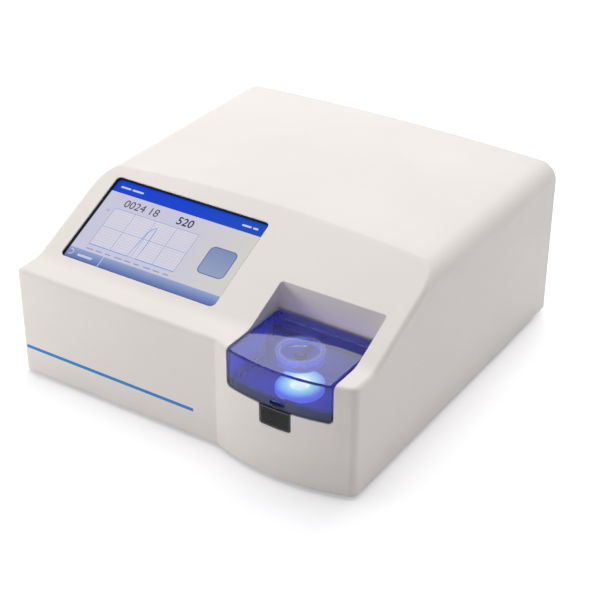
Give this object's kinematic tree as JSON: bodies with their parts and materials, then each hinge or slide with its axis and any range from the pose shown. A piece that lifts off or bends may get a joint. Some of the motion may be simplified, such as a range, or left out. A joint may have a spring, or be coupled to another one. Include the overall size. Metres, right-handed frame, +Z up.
{
  "type": "electroporator",
  "caption": "Bench electroporator with a sloped touch screen and a lit tube chamber under a transparent hinged lid, opened by a push button.",
  "frame": {"origin": "on the bench, under the middle of the object's box", "axes": "+Z up, -Y towards the operator (the lid and screen face -Y), +X to the operator's right"},
  "size_m": [0.32, 0.3356, 0.1479],
  "materials": {
    "case_plastic": "fine satin moulded warm white",
    "lid_plastic": "polished transparent blue",
    "clear_plastic": "polished clear",
    "black_plastic": "satin black",
    "socket_plastic": "translucent white",
    "rubber": "matt",
    "sheet_metal": "powder coated light grey",
    "zinc_steel": "zinc plated",
    "spring_steel": "bright",
    "touch_glass": "polished, black border",
    "foam": "foam",
    "circuit_board": "solder mask green",
    "brass": "gilt",
    "capacitor_sleeve": "shrink sleeve",
    "core_iron": "varnished",
    "winding": "polyester tape",
    "bare_aluminium": "extruded",
    "nylon": "natural",
    "magnet": "nickel plated",
    "fuse_glass": "clear with metal caps"
  },
  "bodies": {
    "case": {"top_housing": "case_plastic", "base_plate": "sheet_metal", "rear_panel": "sheet_metal", "rubber_feet": "rubber", "base_screws": "zinc_steel", "rear_panel_screws": "zinc_steel", "display_gasket": "foam", "touch_panel": "touch_glass", "display_module": "bare_aluminium", "display_frame": "zinc_steel", "display_standoffs": "brass", "display_board": "circuit_board", "chamber_tub": "black_plastic", "tube_socket": "socket_plastic", "lower_electrode": "brass", "electrode_nut": "brass", "light_board": "circuit_board", "hinge_block": "black_plastic", "fixed_terminal": "brass", "hinge_pin": "spring_steel", "lid_spring": "spring_steel", "lid_sensor": "circuit_board", "latch_guide": "black_plastic", "latch_spring": "spring_steel", "main_board": "circuit_board", "high_voltage_board": "circuit_board", "board_standoffs": "nylon", "capacitors": "capacitor_sleeve", "capacitor_clamp": "black_plastic", "transformer_core": "core_iron", "transformer_winding": "winding", "heat_sink": "bare_aluminium", "switch_modules": "black_plastic", "discharge_resistor": "bare_aluminium", "power_supply": "bare_aluminium", "supply_terminals": "black_plastic", "power_inlet": "black_plastic", "inlet_pins": "zinc_steel", "switch_frame": "black_plastic", "fan_frame": "black_plastic", "fan_screws": "zinc_steel", "port_board": "circuit_board", "port_pillars": "brass", "data_ports": "zinc_steel", "ground_post": "brass"},
    "lid": {"lid": "lid_plastic", "contact_carrier": "clear_plastic", "contact_arm": "zinc_steel", "lid_magnet": "magnet", "plunger_spring": "spring_steel"},
    "plunger": {"contact_plunger": "brass"},
    "button": {"latch_button": "black_plastic"},
    "rocker": {"switch_rocker": "black_plastic"},
    "drawer": {"fuse_drawer": "black_plastic", "fuses": "fuse_glass"},
    "fan": {"fan_rotor": "black_plastic"}
  },
  "joints": [
    {"name": "lid_hinge", "type": "hinge", "parent": "case", "child": "lid", "pos_m": [0.0968, -0.0982, 0.0935], "axis": [-1, 0, 0], "range_deg": [0, 90]},
    {"name": "contact_plunge", "type": "slide", "parent": "lid", "child": "plunger", "axis": [0, 0, 1], "range_m": [0, 0.0025], "stiffness_N_per_m": 300, "springref_m": -0.003, "deforming": ["plunger_spring"]},
    {"name": "button_push", "type": "slide", "parent": "case", "child": "button", "axis": [0, 1, 0], "range_m": [0, 0.003], "stiffness_N_per_m": 600, "springref_m": -0.003, "deforming": ["latch_spring"]},
    {"name": "mains_rocker", "type": "hinge", "parent": "case", "child": "rocker", "pos_m": [-0.115, 0.1588, 0.088], "axis": [1, 0, 0], "range_deg": [-20, 0]},
    {"name": "fuse_drawer_slide", "type": "slide", "parent": "case", "child": "drawer", "axis": [0, 1, 0], "range_m": [0, 0.02]},
    {"name": "fan_spin", "type": "hinge", "parent": "case", "child": "fan", "pos_m": [0.095, 0.1478, 0.082], "axis": [0, 1, 0], "continuous": true}
  ]
}
